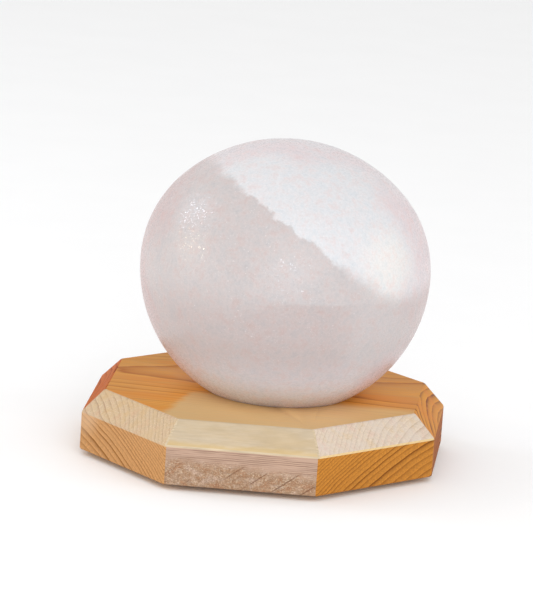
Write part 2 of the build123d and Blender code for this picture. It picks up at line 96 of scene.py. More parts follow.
class Shader:
    """A material's node tree. Each call adds one node and returns its output socket. Colours are given as
    they look on screen."""

    def __init__(self, name):
        self.material = bpy.data.materials.new(name)
        self.material.use_nodes = True
        self.tree = self.material.node_tree
        self.tree.nodes.clear()
        self.surface = self.tree.nodes.new("ShaderNodeBsdfPrincipled")
        output = self.tree.nodes.new("ShaderNodeOutputMaterial")
        self.tree.links.new(self.surface.outputs[0], output.inputs["Surface"])

    def feed(self, socket, value):
        """Links a socket's output, or sets a plain number or colour."""
        if isinstance(value, bpy.types.NodeSocket):
            self.tree.links.new(value, socket)
        else:
            socket.default_value = linear(value) if socket.type == "RGBA" else value

    def add(self, kind, inputs=(), settings=(), output=0):
        node = self.tree.nodes.new("ShaderNode" + kind)
        for name, value in dict(settings).items():
            setattr(node, name, value)
        for name, value in dict(inputs).items():
            self.feed(node.inputs[name], value)
        return node.outputs[output]

    def math(self, operation, first, second=0.0, third=0.0):
        return self.add("Math", {0: first, 1: second, 2: third}, {"operation": operation})

    def times(self, first, second):
        return self.math("MULTIPLY", first, second)

    def times_plus(self, first, second, third):
        return self.math("MULTIPLY_ADD", first, second, third)

    def minus(self, first, second):
        return self.math("SUBTRACT", first, second)

    def vector(self, operation, first, second=(0, 0, 0)):
        output = "Value" if operation in ("DOT_PRODUCT", "LENGTH") else "Vector"
        return self.add("VectorMath", {0: first, 1: second}, {"operation": operation}, output)

    def place(self, stretch=(1, 1, 1), shift=(0, 0, 0)):
        """The point on the object in millimetres, stretched along each axis, then shifted."""
        point = self.add("TexCoord", output="Object")
        return self.add("Mapping", {"Vector": point, "Location": shift, "Scale": [s / MM for s in stretch]})

    def axis(self, index):
        """One coordinate of the point on the object, in millimetres."""
        return self.add("SeparateXYZ", {0: self.place()}, output=index)

    def noise(self, point, scale, detail=2.0, roughness=0.5):
        inputs = {"Vector": point, "Scale": scale, "Detail": detail, "Roughness": roughness}
        return self.add("TexNoise", inputs, output="Fac")

    def waver(self, point, scale, detail, reach, roughness=0.5):
        """A number that wanders round zero, by up to half of its reach."""
        field = self.noise(point, scale, detail, roughness)
        return self.times(self.minus(field, 0.5), reach)

    def ramp(self, factor, *stops):
        """A colour (or a grey, from one number) for each (place, colour) stop."""
        ramp = self.tree.nodes.new("ShaderNodeValToRGB")
        while len(ramp.color_ramp.elements) < len(stops):
            ramp.color_ramp.elements.new(0)
        for element, (position, colour) in zip(ramp.color_ramp.elements, stops):
            element.position = position
            element.color = linear(colour) if isinstance(colour, tuple) else (colour, colour, colour, 1)
        self.feed(ramp.inputs[0], factor)
        return ramp.outputs[0]

    def range(self, value, low, high, to_low=0.0, to_high=1.0, smooth=True):
        inputs = {"Value": value, "From Min": low, "From Max": high, "To Min": to_low, "To Max": to_high}
        settings = {"interpolation_type": "SMOOTHSTEP" if smooth else "LINEAR"}
        return self.add("MapRange", inputs, settings)

    def mix(self, factor, first, second, blend="MIX"):
        node = self.tree.nodes.new("ShaderNodeMix")
        node.data_type = "RGBA"
        node.blend_type = blend
        for socket, value in zip((node.inputs[0], node.inputs[6], node.inputs[7]), (factor, first, second)):
            self.feed(socket, value)
        return node.outputs[2]

    def tinted(self, colour, tint, share=1.0):
        """A colour multiplied by another colour or by a grey."""
        return self.mix(share, colour, tint, "MULTIPLY")

    def shaded(self, colour, field, darkest, lightest):
        """A colour made darker and lighter by a noise field."""
        return self.tinted(colour, self.range(field, 0.3, 0.7, darkest, lightest, smooth=False))

    def bump(self, height, distance, strength):
        return self.add("Bump", {"Height": height, "Distance": distance * MM, "Strength": strength})

    def finish(self, **inputs):
        """Sets the surface's inputs, named in lower case with underscores."""
        for name, value in inputs.items():
            title = name.replace("_", " ").title().replace("Ior", "IOR")
            self.feed(self.surface.inputs[title], value)
        return self.material


# Pine: the board's rings are shells round an axis along X, below the board
PITH_Y = 9.0
PITH_Z = -76.0
PITH_RISE = 0.03
RING_START = 100.0
RING_RATE = 0.33
RING_GAIN = 0.0095
RING_PHASE = 0.5
RING_WANDER = 2.2
RING_WAVE = 0.22


def ring_fields(shader):
    """A point's place in its ring, from 0 to 1 outwards, and the force and narrowness of that ring's line."""
    point = shader.place()
    for stretch, reach in (((0.01, 0.03, 0.03), RING_WANDER), ((0.05, 0.3, 0.3), RING_WAVE)):
        field = shader.add("TexNoise", {"Vector": shader.place(stretch), "Scale": 1.0}, output="Color")
        push = shader.vector("SUBTRACT", field, (0.5, 0.5, 0.5))
        point = shader.vector("ADD", point, shader.vector("MULTIPLY", push, (0, 2 * reach, 2 * reach)))
    point = shader.vector("SUBTRACT", point, (0, PITH_Y, PITH_Z))
    rise = shader.add("CombineXYZ", {2: shader.times(shader.axis(0), PITH_RISE)})
    point = shader.vector("SUBTRACT", point, rise)
    radius = shader.vector("LENGTH", shader.vector("MULTIPLY", point, (0, 1, 1)))
    outwards = shader.minus(radius, RING_START)
    beyond = shader.math("MAXIMUM", outwards, 0.0)
    gain = shader.times(shader.times(beyond, beyond), RING_GAIN)
    count = shader.times_plus(outwards, RING_RATE, shader.math("ADD", gain, RING_PHASE))
    seed = shader.math("FLOOR", count)
    chance = shader.add("TexWhiteNoise", {"W": seed}, {"noise_dimensions": "1D"}, "Color")
    old = shader.range(outwards, 14.0, -4.0, 0.8, 1.2)
    force = shader.times(shader.add("SeparateColor", {0: chance}, output=0), old)
    narrow = shader.range(outwards, 4.0, 22.0, 2.0, 4.0)
    narrow = shader.times_plus(shader.add("SeparateColor", {0: chance}, output=1), 3.5, narrow)
    return shader.math("FRACT", count), force, narrow


def pine(name, early, late, line=1.0, streak=0.1, relief=0.06, blotch=None, finish=None, shine=0.15):
    """Pine between the colours of its early and late wood. Finish, if given, adds a face's marks and any
    painted light.
    """
    shader = Shader(name)
    within, force, narrow = ring_fields(shader)
    edge = shader.times(shader.math("POWER", within, narrow), shader.range(within, 1.0, 0.92))
    force = shader.range(force, 0.0, 1.0, 0.55, 1.6, smooth=False)
    rings = shader.times(shader.times(edge, force), line)
    colour = shader.mix(rings, early, late)
    young = shader.range(within, 0.0, 0.22, 0.3 * line, 0.0)
    colour = shader.mix(young, colour, [min(255, 1.1 * c) for c in early])
    fibre = shader.noise(shader.place((0.05, 1.4, 1.4)), 1.0, 3.0, 0.65)
    colour = shader.shaded(colour, fibre, 1 - streak, 1 + streak)
    if blotch:
        clouds = shader.noise(shader.place((0.025, 0.09, 0.09), (7, 3, 1)), 1.0, 3.0, 0.6)
        colour = shader.mix(shader.range(clouds, 0.42, 0.68, 0.0, 0.7), colour, blotch)
    height = shader.math("ADD", fibre, shader.times(rings, 0.5))
    if finish:
        colour, height = finish(shader, colour, height)
    gloss = shader.range(fibre, 0.3, 0.7, 0.46, 0.6)
    normal = shader.bump(height, relief, 0.6)
    return shader.finish(base_color=colour, roughness=gloss, normal=normal, specular_ior_level=shine)


# Marks on the board's faces, in millimetres. A pair is where a mark starts and where it's full.
PATCH_LEFT = (-31.0, -25.0)
PATCH_LEFT_SLANT = -0.2
PATCH_RIGHT = (106.0, 78.0)
PATCH_RIGHT_SLANT = -0.71
PATCH_FRONT = (-17.0, -27.0)
PATCH_PALER = (-6.0, 26.0)
PATCH_STRENGTH = 0.6
AMBER_RIGHT = (34.0, 62.0)
# Painted light: the top is made up to this much lighter round the ball's foot, where the ball's shade falls,
# starting this far in millimetres from the lamp's axis
PAINTED_LIGHT_ROUND_FOOT = 1.3
PAINTED_LIGHT_ROUND_FOOT_REACH = 78.0
TORN_WOOD = (15.5, 9.5)
TORN_SLANT = 0.05
PLANED_PITCH = 0.85
SAW_SLOPE = radians(37)
SAW_PITCH = 8.0
PALE_CORNER = (-79.0, -37.0, 20.0)
PALE_CORNER_FADE = (13.0, 3.0)
YELLOW_BAND = (24.6, 22.4)


def sanded_patch_and_painted_light(shader, colour, height):
    """The top: a paler sanded zone at the front, deeper amber on the right, and painted light round the
    ball's foot.
    """
    x = shader.axis(0)
    y = shader.axis(1)
    waver = shader.waver(shader.place(), 0.15, 2.0, 5.0)
    left = shader.math("ADD", shader.times_plus(y, PATCH_LEFT_SLANT, x), waver)
    right = shader.math("ADD", shader.times_plus(y, PATCH_RIGHT_SLANT, x), waver)
    patch = shader.times(shader.range(left, *PATCH_LEFT), shader.range(right, *PATCH_RIGHT))
    patch = shader.times(patch, shader.range(y, *PATCH_FRONT))
    tan = shader.mix(shader.range(x, *PATCH_PALER), (192, 174, 134), (204, 182, 143))
    colour = shader.mix(patch, colour, shader.mix(PATCH_STRENGTH, colour, tan))
    amber = shader.tinted(colour, (255, 249, 224))
    colour = shader.mix(shader.range(x, *AMBER_RIGHT), colour, amber)
    # Painted light: the wood is made lighter towards the ball's foot, standing in for light where the ball
    # shades the top
    out = shader.vector("SUBTRACT", shader.place(), [part / MM for part in lamp_axis])
    out = shader.vector("LENGTH", shader.vector("MULTIPLY", out, (1, 1, 0)))
    near = shader.range(out, PAINTED_LIGHT_ROUND_FOOT_REACH, BALL_FOOT_RADIUS / MM, 1.0, PAINTED_LIGHT_ROUND_FOOT)
    return shader.tinted(colour, near), height


def lines(shader, across, pitch, half_width):
    """Parallel lines, 1 in the middle of each. Their half width is a share of the pitch."""
    part = shader.math("FRACT", shader.math("DIVIDE", across, pitch))
    start = 0.5 - half_width
    end = 0.5 + half_width
    return shader.ramp(part, (0.0, 0.0), (start, 0.0), (0.5, 1.0), (end, 0.0), (1.0, 0.0))


def saw_marks(shader, colour, height):
    """The front: fine lines along its top, torn wood below, and slanting lines from the saw."""
    x = shader.axis(0)
    z = shader.axis(2)
    waver = shader.waver(shader.place(), 0.2, 3.0, 6.0)
    low = shader.range(shader.math("ADD", shader.times_plus(x, TORN_SLANT, z), waver), *TORN_WOOD)
    planed = lines(shader, shader.times_plus(waver, 0.1, z), PLANED_PITCH, 0.4)
    breaks = shader.range(shader.noise(shader.place((0.06, 0.6, 0.6)), 1.0, 3.0), 0.36, 0.62, 0.1, 0.8)
    colour = shader.mix(shader.times(planed, breaks), colour, (116, 88, 70))
    tint = shader.noise(shader.place((0.7, 1, 1), (4, 1, 2)), 0.28, 3.0, 0.7)
    torn = shader.ramp(tint, (0.34, (166, 124, 94)), (0.5, (169, 136, 108)), (0.66, (185, 157, 137)))
    specks = shader.noise(shader.place((0.8, 1, 1)), 1.5, 3.0, 0.75)
    torn = shader.mix(shader.range(specks, 0.5, 0.7, 0.0, 0.7), torn, (220, 202, 178))
    fissures = shader.noise(shader.place((0.8, 1, 1.1), (8, 2, 9)), 0.8, 3.0, 0.7)
    fissures = shader.math("ABSOLUTE", shader.minus(fissures, 0.5))
    fissures = shader.range(fissures, 0.0, 0.035, 0.65, 0.0)
    torn = shader.mix(fissures, torn, (112, 78, 52))
    rise = shader.times(x, sin(SAW_SLOPE))
    across = shader.minus(shader.times(z, cos(SAW_SLOPE)), rise)
    stroke = lines(shader, shader.times_plus(waver, 0.12, across), SAW_PITCH, 0.05)
    patchy = shader.range(shader.noise(shader.place(shift=(3, 0, 5)), 0.12, 2.0), 0.42, 0.54)
    side = shader.times(shader.range(x, -20.0, 4.0, 0.4, 1.0), low)
    stroke = shader.times(shader.times(stroke, patchy), side)
    colour = shader.mix(low, colour, torn)
    colour = shader.mix(shader.times(stroke, 0.8), colour, (104, 66, 42))
    rough = shader.times(shader.minus(specks, fissures), low)
    height = shader.times_plus(rough, 2.5, height)
    return colour, shader.times_plus(stroke, -1.5, height)


def sanding(shader, colour, height):
    """The sawn sides: faint close scratches across the rings, and a pale worn corner on the left."""
    scratch = shader.noise(shader.place((0.5, 0.5, 0.12), (2, 5, 1)), 3.0, 2.0, 0.7)
    colour = shader.shaded(colour, scratch, 0.92, 1.08)
    corner = shader.vector("LENGTH", shader.vector("SUBTRACT", shader.place(), PALE_CORNER))
    pale = shader.range(corner, *PALE_CORNER_FADE, 0.0, 0.6)
    return shader.mix(pale, colour, (204, 168, 132)), shader.times_plus(scratch, 0.6, height)


def end_pores(shader, colour, height):
    """Sanded end grain: dark pores and pale dots over the rings, and pink and yellow clouds."""
    pores = shader.noise(shader.place((0.7, 1, 1)), 2.6, 2.0, 0.7)
    clouds = shader.noise(shader.place((1, 1, 1), (5, 2, 7)), 0.16, 3.0, 0.7)
    tint = shader.ramp(clouds, (0.34, (255, 246, 230)), (0.5, 1.0), (0.66, (255, 242, 240)))
    colour = shader.tinted(colour, tint, 0.8)
    colour = shader.mix(shader.range(pores, 0.42, 0.3, 0.0, 0.35), colour, (158, 130, 108))
    colour = shader.mix(shader.range(pores, 0.56, 0.7, 0.0, 0.45), colour, (224, 212, 194))
    return colour, shader.math("ADD", height, pores)


def mottled(shader, colour, height):
    """The front chamfer: smooth, with a yellower band along its lower edge."""
    clouds = shader.noise(shader.place((0.3, 1, 1), (1, 6, 3)), 0.3, 3.0, 0.65)
    z = shader.times_plus(clouds, 3.0, shader.axis(2))
    colour = shader.mix(shader.range(z, *YELLOW_BAND, 0.0, 0.65), colour, (200, 172, 120))
    return shader.shaded(colour, clouds, 0.93, 1.06), height


def add_object(name, data):
    """A new object in the scene, for a mesh, a lens or a light."""
    item = bpy.data.objects.new(name, data)
    bpy.context.scene.collection.objects.link(item)
    return item


def mesh_object(name, points, faces, body, material):
    """A smooth mesh from points in metres, riding on a body."""
    mesh = bpy.data.meshes.new(name)
    mesh.from_pydata([tuple(p) for p in points], [], faces)
    mesh.validate()
    mesh.polygons.foreach_set("use_smooth", [True] * len(mesh.polygons))
    mesh.materials.append(material)
    piece = add_object(name, mesh)
    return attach(piece, body)


def board_materials():
    """The board's faces differ in how they cut the rings and in how they were sawn or sanded. Pale cream
    strips on some arrises are painted highlights.
    """
    return {
        "top": pine(
            "pine_top", (202, 142, 62), (168, 92, 10), 1.0, 0.12, blotch=(204, 130, 44), finish=sanded_patch_and_painted_light
        ),
        "under": pine("pine_under", (206, 158, 98), (166, 102, 50), relief=0.12),
        # Painted highlights: pale cream strips along the arrises, where light catches the edges
        "rim": pine("pine_painted_highlight", (216, 188, 138), (204, 166, 110), 0.6, 0.06),
        "painted_pale_highlight": pine("pine_pale_rim", (194, 176, 148), (184, 160, 126), 0.5, 0.2),
        "chamfer_front": pine(
            "pine_chamfer_front", (190, 173, 148), (182, 156, 116), 0.35, 0.06,
            blotch=(186, 164, 130), finish=mottled,
        ),
        "chamfer_front_left": pine(
            "pine_chamfer_left", (193, 170, 139), (146, 114, 86), 0.9,
            blotch=(195, 168, 132), finish=end_pores,
        ),
        "chamfer_front_right": pine(
            "pine_chamfer_right", (204, 188, 170), (166, 140, 118), 0.6,
            blotch=(204, 192, 180), finish=end_pores,
        ),
        "chamfer_right": pine(
            "pine_chamfer_amber", (203, 136, 47), (126, 60, 2), 1.35, blotch=(204, 124, 44)
        ),
        "chamfer_left": pine(
            "pine_chamfer_cherry", (186, 104, 52), (134, 58, 20), 1.2, 0.16,
            blotch=(184, 92, 42), shine=0.02,
        ),
        "side_front": pine("pine_sawn", (184, 154, 134), (152, 118, 98), 0.5, 0.12, 0.1, finish=saw_marks),
        "side_front_left": pine("pine_side_honey", (188, 139, 88), (126, 76, 20), 1.15, 0.16, finish=sanding),
        "side_front_right": pine("pine_side_amber", (184, 121, 44), (114, 60, 2), 1.15, 0.18, finish=sanding),
        "side_right": pine(
            "pine_side_cherry", (165, 98, 48), (92, 42, 14), 1.2, 0.25,
            blotch=(156, 82, 34), finish=sanding, shine=0.02,
        ),
    }


# Which look each of the eight sides has, in turn from +X
SIDE_LOOKS = ("right", "front_left", "front", "front_left", "left", "front_left", "front", "front_right")
SIDE_TURN = 45

# How far a face's normal points up for the top, the underside, a chamfer, and an arris under a chamfer
TOP_RISE = 0.97
UNDER_RISE = -0.8
CHAMFER_RISE = 0.05
LOW_ARRIS_RISE = 0.5

# An arris between two sides turns away from both by more than this, in degrees. The hips with a painted
# highlight, a pale cream strip, are the two beside the front chamfer, counted in sides from +X.
ARRIS_TURN = 4
PAINTED_HIGHLIGHT_HIPS = (-1.5, -2.5)


def face_kind(normal):
    """What a board face is called, from the way that it faces. An arris goes with a face beside it, but the
    hips beside the front chamfer and the low arrises at the front get a painted highlight.
    """
    if normal.z > TOP_RISE:
        return "top"
    if normal.z < UNDER_RISE:
        return "under"
    turn = degrees(atan2(normal.y, normal.x)) / SIDE_TURN
    number = round(turn)
    rising = normal.z > CHAMFER_RISE
    between = abs(turn - number) * SIDE_TURN > ARRIS_TURN
    if between and rising and min(abs(turn - hip) for hip in PAINTED_HIGHLIGHT_HIPS) < 0.4:
        return "painted_pale_highlight"
    if between and number % 2 == 0:
        number += 1 if turn > number else -1
    look = SIDE_LOOKS[number % 8]
    # Painted highlight: the low arrises at the front are pale cream
    if rising and normal.z < LOW_ARRIS_RISE and look in ("front_right", "front"):
        return "rim" if look == "front_right" else "painted_pale_highlight"
    kind = ("chamfer_" if rising else "side_") + look
    return "side_front_left" if kind == "side_left" else kind


ARRIS_ROUND = 0.15 * MM


def wooden_board():
    """The board, from the solid's own faces, with every arris rounded over."""
    mesh = bmesh.new()
    mesh.from_mesh(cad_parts["wooden_base"].data)
    bmesh.ops.remove_doubles(mesh, verts=mesh.verts, dist=WELD)
    bmesh.ops.dissolve_limit(mesh, angle_limit=radians(1), verts=mesh.verts, edges=mesh.edges)
    mesh.normal_update()
    data = bpy.data.meshes.new("board")
    mesh.to_mesh(data)
    mesh.free()
    piece = add_object("board", data)
    materials = board_materials()
    order = list(materials)
    for material in materials.values():
        data.materials.append(material)
    for face in data.polygons:
        face.material_index = order.index(face_kind(face.normal))
    bevel = piece.modifiers.new("rounded_arrises", "BEVEL")
    bevel.width = ARRIS_ROUND
    bevel.segments = 2
    bevel.limit_method = "ANGLE"
    bevel.angle_limit = radians(15)
    bevel.harden_normals = True
    data.polygons.foreach_set("use_smooth", [True] * len(data.polygons))
    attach(piece, "lamp")
    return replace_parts(piece, "wooden_base")


# The ball's cloudy zones, in millimetres. The bright one starts at a plane, given by its normal and its
# distance from the origin. A pair is where a zone starts and where it's full.
BRIGHT_NORMAL = (0.536, 0.146, 0.831)
BRIGHT_START = 93.8
BRIGHT_FLOOR = (81.0, 92.0)
CRISP_EDGE_X = 8.0
CRISP_EDGE = (10.0, 45.0)
LOWER_START = 86.0
LOWER_SOFT_LEFT = (14.0, -14.0)
LOWER_RIGHT = (30.0, 46.0)
# Painted highlight: a soft warm-white spot high on the ball's front right, its middle, then where it starts
# and where it's full
PAINTED_HIGHLIGHT_SPOT = (54.0, -45.0, 102.0)
PAINTED_HIGHLIGHT_FADE = (22.0, 4.0)
# Painted light: the ball turns paler towards its foot, where the board shades it; the heights where this
# starts and where it's full
PAINTED_LIGHT_BALL_FOOT = (64.0, 36.0)
PINK_RIM = (65.0, 78.0)

# Crystals to a millimetre, and how far their faces tilt
CRYSTALS = 1.7
CRYSTAL_TILT = 0.26

# Layers of pale flecks: the pattern's shift, a fleck's size, how close they stand, and their strength
FLECKS = (
    ((1, 1, 9), 0.12, 0.42, 0.6),
    ((7, 3, 2), 0.17, 0.42, 0.5),
    ((4, 8, 6), 0.26, 1.0, 0.4),
)


def salt():
    """Frosted white rock salt: cloudy zones with ragged bounds, a fine grain, glinting crystals, painted
    light near the foot and a painted warm highlight.
    """
    shader = Shader("salt")
    point = shader.place()
    x = shader.axis(0)
    z = shader.axis(2)
    grain = shader.noise(point, 0.9, 4.0, 0.7)
    ragged = shader.waver(point, 0.35, 4.0, 5.0, 0.75)
    drift = shader.waver(shader.place(shift=(3, 8, 5)), 0.11, 2.0, 7.0)

    height = shader.vector("DOT_PRODUCT", point, BRIGHT_NORMAL)
    height = shader.math("ADD", shader.math("ADD", height, ragged), drift)
    past = shader.minus(height, BRIGHT_START)
    soft = shader.math("ABSOLUTE", shader.minus(x, CRISP_EDGE_X))
    soft = shader.range(soft, *CRISP_EDGE, 1.0, 5.0)
    upper = shader.range(shader.math("DIVIDE", past, soft), -0.6, 1.0)
    upper = shader.times(upper, shader.range(shader.math("ADD", z, ragged), *BRIGHT_FLOOR))

    below = shader.minus(LOWER_START, shader.times_plus(ragged, 0.5, z))
    left = shader.range(x, *LOWER_SOFT_LEFT, 1.0, 14.0)
    lower = shader.range(shader.math("DIVIDE", below, left), -0.5, 1.0)
    fade = shader.range(shader.times_plus(ragged, 0.8, x), *LOWER_RIGHT, 1.0, 0.15)
    lower = shader.times(lower, fade)

    colour = shader.mix(lower, (190, 182, 181), (184, 172, 170))
    # Painted light: paler, bluer colour towards the foot, standing in for light in the ball's shaded lower
    # part
    colour = shader.mix(shader.range(z, *PAINTED_LIGHT_BALL_FOOT), colour, (213, 213, 222))
    colour = shader.mix(upper, colour, (209, 208, 210))
    # Painted highlight: a soft warm-white spot where a warm lamp's reflection would be
    warm = shader.vector("LENGTH", shader.vector("SUBTRACT", point, PAINTED_HIGHLIGHT_SPOT))
    warm = shader.times_plus(ragged, 2.5, warm)
    colour = shader.mix(shader.range(warm, *PAINTED_HIGHLIGHT_FADE, 0.0, 0.45), colour, (226, 221, 214))
    rim = shader.vector("SUBTRACT", point, [part / MM for part in ball_centre])
    rim = shader.vector("LENGTH", shader.vector("MULTIPLY", rim, (1.0, 0.0, 1.05)))
    rim = shader.times_plus(shader.noise(point, 0.035, 3.0, 0.55), 22.0, rim)
    pinkish = shader.tinted(colour, (255, 238, 238))
    colour = shader.mix(shader.range(rim, *PINK_RIM), colour, pinkish)
    mottle = shader.noise(shader.place(shift=(2, 6, 4)), 0.22, 4.0, 0.7)
    tints = shader.ramp(mottle, (0.34, (246, 250, 252)), (0.5, 1.0), (0.66, (255, 246, 244)))
    colour = shader.tinted(colour, tints)
    colour = shader.shaded(colour, grain, 0.94, 1.05)
    for shift, size, scale, strength in FLECKS:
        start = shader.place(shift=shift)
        dots = shader.add("TexVoronoi", {"Vector": start, "Scale": scale}, output="Distance")
        some = shader.range(shader.noise(start, 0.09, 3.0, 0.8), 0.44, 0.6, 0.0, strength)
        dots = shader.times(shader.range(dots, size, 0.02), some)
        colour = shader.mix(dots, colour, (232, 226, 226))

    crystals = shader.add("TexVoronoi", {"Vector": point, "Scale": CRYSTALS}, output="Color")
    tilt = shader.vector("SUBTRACT", crystals, (0.5, 0.5, 0.5))
    tilt = shader.vector("MULTIPLY", tilt, (CRYSTAL_TILT, CRYSTAL_TILT, CRYSTAL_TILT))
    face = shader.add("NewGeometry", output="Normal")
    glint = shader.vector("NORMALIZE", shader.vector("ADD", face, tilt))
    inputs = {"Vector": shader.place(shift=(9, 4, 7)), "Scale": CRYSTALS}
    chance = shader.add("SeparateColor", {0: shader.add("TexVoronoi", inputs, output="Color")})
    return shader.finish(
        base_color=colour,
        roughness=shader.range(grain, 0.35, 0.65, 0.3, 0.5),
        ior=1.54,
        specular_ior_level=0.38,
        normal=shader.bump(grain, 0.14, 0.6),
        subsurface_weight=0.5,
        subsurface_radius=(1.0, 0.88, 0.86),
        subsurface_scale=7.0 * MM,
        coat_weight=shader.range(chance, 0.1, 1.0, 0.0, 0.8, smooth=False),
        coat_roughness=0.11,
        coat_ior=1.54,
        coat_normal=glint,
    )


def ball_radius(elevation, azimuth):
    """Distance from the ball's centre to its surface in a direction, with the lean."""
    x = cos(elevation) * cos(azimuth)
    y = cos(elevation) * sin(azimuth)
    z = sin(elevation)
    x, z = x * cos(BALL_LEAN) - z * sin(BALL_LEAN), x * sin(BALL_LEAN) + z * cos(BALL_LEAN)
    if z <= 0:
        return BALL_RADIUS
    out = hypot(x, y)
    between = (BALL_RADIUS - BALL_CROWN) / (sin(CROWN_SIDE_ANGLE) + cos(CROWN_SIDE_ANGLE) - 1)
    side_x = between * cos(CROWN_SIDE_ANGLE)
    top_z = -between * sin(CROWN_SIDE_ANGLE)
    side_arc = BALL_RADIUS - side_x
    top_arc = BALL_CROWN - top_z
    join = atan2(side_arc * sin(CROWN_SIDE_ANGLE), side_x + side_arc * cos(CROWN_SIDE_ANGLE))
    if atan2(z, out) < join:
        return out * side_x + sqrt((out * side_x) ** 2 - side_x**2 + side_arc**2)
    return z * top_z + sqrt((z * top_z) ** 2 - top_z**2 + top_arc**2)


def upright(azimuth, radius, z):
    """A point from its azimuth, its distance from an upright axis, and its height."""
    return Vector((radius * cos(azimuth), radius * sin(azimuth), z))


def band(low, high, around):
    """Faces between two rings of points, from the number of the first point in each."""
    steps = [(step, (step + 1) % around) for step in range(around)]
    return [(low + a, low + b, high + b, high + a) for a, b in steps]


def screw_centres():
    """Where the three screws stand, on the floor."""
    turns = [radians(SCREW_FIRST_ANGLE) + 2 * pi * number / SCREW_COUNT for number in range(SCREW_COUNT)]
    return [lamp_axis + upright(turn, 1, 0) * SCREW_CIRCLE * MM for turn in turns]


def salt_ball():
    """The ball with its worn skin and flat foot, the bore with its round end, and the holes for the plugs."""
    around = BALL_AROUND
    lowest = -asin(foot_drop / BALL_RADIUS)
    points = []
    for row in range(BALL_ROWS):
        elevation = pi / 2 + (lowest - pi / 2) * (row + 0.5) / BALL_ROWS
        for step in range(around):
            azimuth = 2 * pi * step / around
            direction = upright(azimuth, cos(elevation), sin(elevation))
            worn = sum(depth * (1 + noise.noise(direction * rate)) for depth, rate in WEAR)
            points.append(ball_centre + direction * (ball_radius(elevation, azimuth) - worn))
    profile = [
        (BALL_FOOT_RADIUS, FOOT_EDGE / 2),
        (BALL_FOOT_RADIUS - FOOT_EDGE / 2, 0),
        (BORE_RADIUS, 0),
        (BORE_RADIUS, BORE_END - BORE_END_ROUND - board_top),
    ]
    for step in range(1, BORE_END_STEPS + 1):
        turn = pi / 2 * step / BORE_END_STEPS
        out = BORE_RADIUS - BORE_END_ROUND * (1 - cos(turn))
        profile.append((out, BORE_END - BORE_END_ROUND * (1 - sin(turn)) - board_top))
    for radius, z in profile:
        for step in range(around):
            points.append(lamp_axis + upright(2 * pi * step / around, radius, board_top + z))
    count = len(points) // around
    flat_row = BALL_ROWS + 1
    faces = []
    for row in range(count - 1):
        if row != flat_row:
            faces += band(row * around, (row + 1) * around, around)
    faces.append(tuple(range(around)))
    faces.append(tuple(range((count - 1) * around, count * around))[::-1])
    for centre in screw_centres():
        first = len(points)
        for z in (board_top, PLUG_HOLE_END * MM):
            for step in range(PLUG_HOLE_SIDES):
                points.append(centre + upright(2 * pi * step / PLUG_HOLE_SIDES, PLUG_RADIUS * MM, z))
        end = first + PLUG_HOLE_SIDES
        faces += band(first, end, PLUG_HOLE_SIDES)
        faces.append(tuple(range(end, end + PLUG_HOLE_SIDES)))
    piece = mesh_object("ball", points, faces, "lamp", salt())
    mesh = bmesh.new()
    mesh.from_mesh(piece.data)
    bmesh.ops.triangle_fill(mesh, edges=[edge for edge in mesh.edges if edge.is_boundary], use_beauty=True)
    bmesh.ops.recalc_face_normals(mesh, faces=mesh.faces)
    for face in mesh.faces:
        face.smooth = True
    mesh.to_mesh(piece.data)
    mesh.free()
    piece.data.set_sharp_from_angle(angle=CRISP_ANGLE)
    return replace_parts(piece, "salt_ball")


# Inner pieces, in millimetres. Heights of the bulb's own pieces count from its contact.
bulb_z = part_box("bulb_contact")[0].z / MM
core_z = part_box("holder_core")[0].z / MM
CORE_FLOOR = 6.0
nipple_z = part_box("threaded_nipple")[0].z / MM
NIPPLE_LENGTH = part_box("threaded_nipple")[1].z / MM - nipple_z
nut_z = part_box("lock_nut")[0].z / MM
screw_head_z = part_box("base_screws")[0].z / MM
CAP_START = 3.7
CAP_THREAD_END = 18.7
CAP_END = 22.7
CAP_CREST = 6.95
CAP_THREAD_DEPTH = 0.5
CAP_PITCH = 2.82
CAP_WALL = 0.3
FLARE_WIDTH = 1.35
SHELL_HEIGHT = 18.0
SHELL_WALL = 0.5
SHELL_THREAD_DEPTH = 0.2
TAB_WIDTH = 4.0
SHELL_RADIUS = 7.0
NIPPLE_RADIUS = 5.0
NIPPLE_BORE = 3.75
NIPPLE_PITCH = 1.0
NIPPLE_THREAD_DEPTH = 0.45
NUT_FLATS = 14.0
NUT_HEIGHT = 3.0
SCREW_LENGTH = 45.0
SCREW_RADIUS = 2.0
SCREW_HEAD_RADIUS = 4.0
SCREW_POINT = 4.0
SCREW_SHANK = 10.0
SCREW_PITCH = 1.8
SCREW_THREAD_SHARE = 0.3
FOOT_RADIUS = 7.0
FOOT_TAPER = 1.0
GLASS_START = 6.0
GLASS_STEP = 0.5
GLASS_NECK = 6.0
GLASS_RADIUS = 11.0
GLASS_LENGTH = 57.0
GLASS_WALL = 0.7
SHOULDER_START = 16.0
SHOULDER_END = 34.0
STEM_RADIUS = 2.4
STEM_TOP = 27.0
STEM_PINCH_START = 20.0
LEAD_RADIUS = 0.3
LEAD_TOP = 40.0
SUPPORT_RADIUS = 0.15
FILAMENT_TOP = 44.0
COIL_RADIUS = 0.15
COIL_WIRE = 0.045
COIL_STEP = 0.022
COIL_STEPS_PER_TURN = 10


def metal(name, colour, roughness):
    """Bright or dull metal with smudges and fine drawn lines."""
    shader = Shader(name)
    smudge = shader.noise(shader.place(), 0.6, 4.0, 0.6)
    grain = shader.noise(shader.place((6, 6, 0.6)), 1.0, 2.0)
    tint = shader.mix(shader.range(smudge, 0.4, 0.75), colour, [0.8 * c for c in colour])
    gloss = shader.range(smudge, 0.3, 0.7, roughness - 0.06, roughness + 0.1)
    normal = shader.bump(grain, 0.02, 0.4)
    return shader.finish(base_color=tint, metallic=1.0, roughness=gloss, normal=normal)


